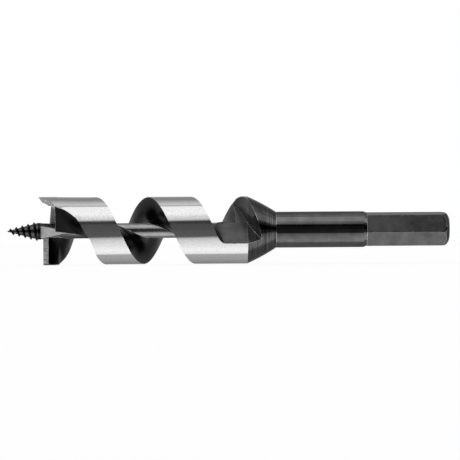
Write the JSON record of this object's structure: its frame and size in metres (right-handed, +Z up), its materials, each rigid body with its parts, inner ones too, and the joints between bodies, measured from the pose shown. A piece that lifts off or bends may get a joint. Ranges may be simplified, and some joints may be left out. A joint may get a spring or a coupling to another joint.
{
  "type": "auger bit",
  "caption": "Short solid-centre auger bit for boring wood, with a feed screw, a scoring spur, a cutting lip, a single helical flight and a hexagonal drive end.",
  "frame": {"origin": "centre of the drive end's flat face", "axes": "+X along the bit from the feed screw's point to the drive end, +Z up, with the cutting lip below and the scoring spur above"},
  "size_m": [0.1566, 0.0239, 0.0241],
  "materials": {
    "ground_steel": "fine ground steel on the land, the lip and the spur",
    "black_oxide": "satin black oxide over turned and milled steel",
    "screw_steel": "dark steel, a little lighter between the thread's crests"
  },
  "bodies": {
    "root": {"lead_screw": "screw_steel", "cutting_lip": "ground_steel", "scoring_spur": "ground_steel", "center_core": "black_oxide", "helical_flight": "ground_steel", "shoulder": "black_oxide", "round_shank": "black_oxide", "hex_drive": "black_oxide"}
  },
  "joints": []
}
